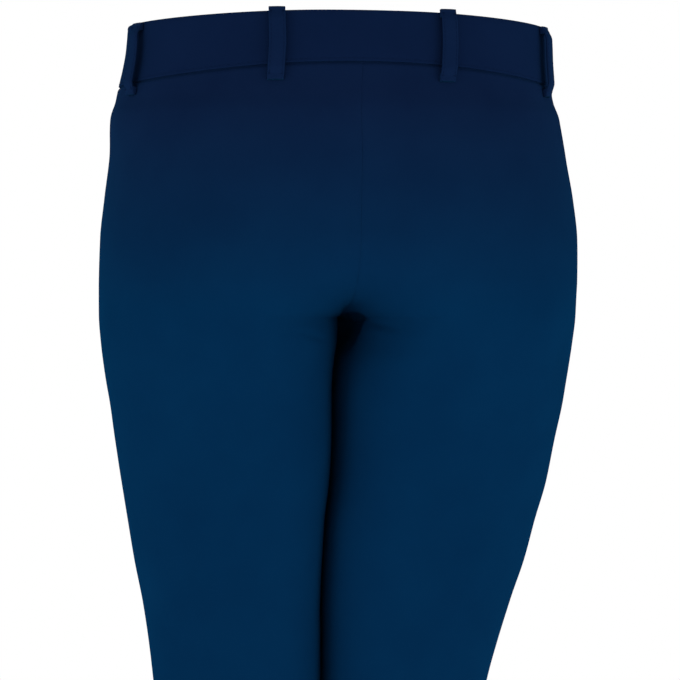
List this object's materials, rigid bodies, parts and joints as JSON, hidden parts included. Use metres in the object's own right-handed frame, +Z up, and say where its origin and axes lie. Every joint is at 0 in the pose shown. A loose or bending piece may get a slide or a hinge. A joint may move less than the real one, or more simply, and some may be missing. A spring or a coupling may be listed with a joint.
{
  "type": "worn riding breeches",
  "caption": "Slim full-length riding breeches in stretch cloth, worn and hollow, with a waistband, belt loops, fly zip and button, open at the waist and hems.",
  "frame": {"origin": "middle of the waistband's ring, half-way up the band at the sides, where the wearer's waist holds the breeches up", "axes": "+Z up, -Y to the front of the breeches, +Y to the back, +X to the wearer's left"},
  "size_m": [0.3598, 0.2412, 0.9221],
  "materials": {
    "stretch_cloth": "matt navy stretch weave",
    "band_cloth": "matt navy weave, doubled",
    "zip_tape": "matt navy tape with nylon teeth",
    "button": "satin navy"
  },
  "bodies": {
    "root": {"back_left": "stretch_cloth", "back_right": "stretch_cloth", "front_left": "stretch_cloth", "front_right": "stretch_cloth", "waistband": "band_cloth", "belt_loop_back_left": "band_cloth", "belt_loop_back_right": "band_cloth", "belt_loop_side_left": "band_cloth", "belt_loop_side_right": "band_cloth", "belt_loop_front_left": "band_cloth", "belt_loop_front_right": "band_cloth", "zip": "zip_tape", "button": "button"}
  },
  "joints": []
}
